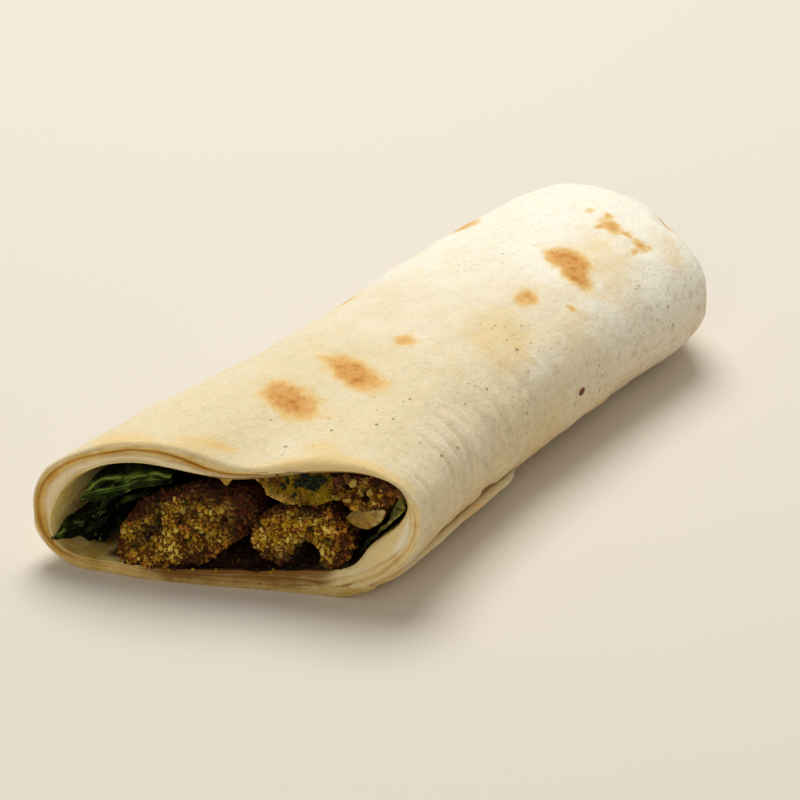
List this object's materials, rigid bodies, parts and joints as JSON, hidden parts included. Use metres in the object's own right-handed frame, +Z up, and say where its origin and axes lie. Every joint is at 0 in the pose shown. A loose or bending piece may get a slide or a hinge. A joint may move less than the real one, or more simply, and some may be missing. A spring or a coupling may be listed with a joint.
{
  "type": "falafel wrap half",
  "caption": "Half of a rolled flatbread wrap, closed at one end and cut open at the other, where falafel, leaves and hummus show.",
  "frame": {"origin": "middle of the wrap's box, on the surface it lies on", "axes": "+X along the wrap from the cut to the tucked end, +Y to the left, +Z up"},
  "size_m": [0.1654, 0.0742, 0.034],
  "materials": {
    "tortilla": "soft baked wheat flatbread, matt, cream with toasted spots",
    "falafel": "coarse fried chickpea crumb with a brown crust",
    "hummus": "thick moist paste",
    "onion": "moist, slightly clear",
    "spinach": "wet dark leaf with pale ribs"
  },
  "bodies": {
    "root": {"tortilla": "tortilla", "falafel_left": "falafel", "falafel_right": "falafel", "falafel_top": "falafel", "hummus": "hummus", "onion": "onion", "leaf_upper": "spinach", "leaf_middle": "spinach", "leaf_lower": "spinach", "leaf_floor": "spinach", "leaf_top": "spinach", "leaf_right": "spinach"}
  },
  "joints": []
}
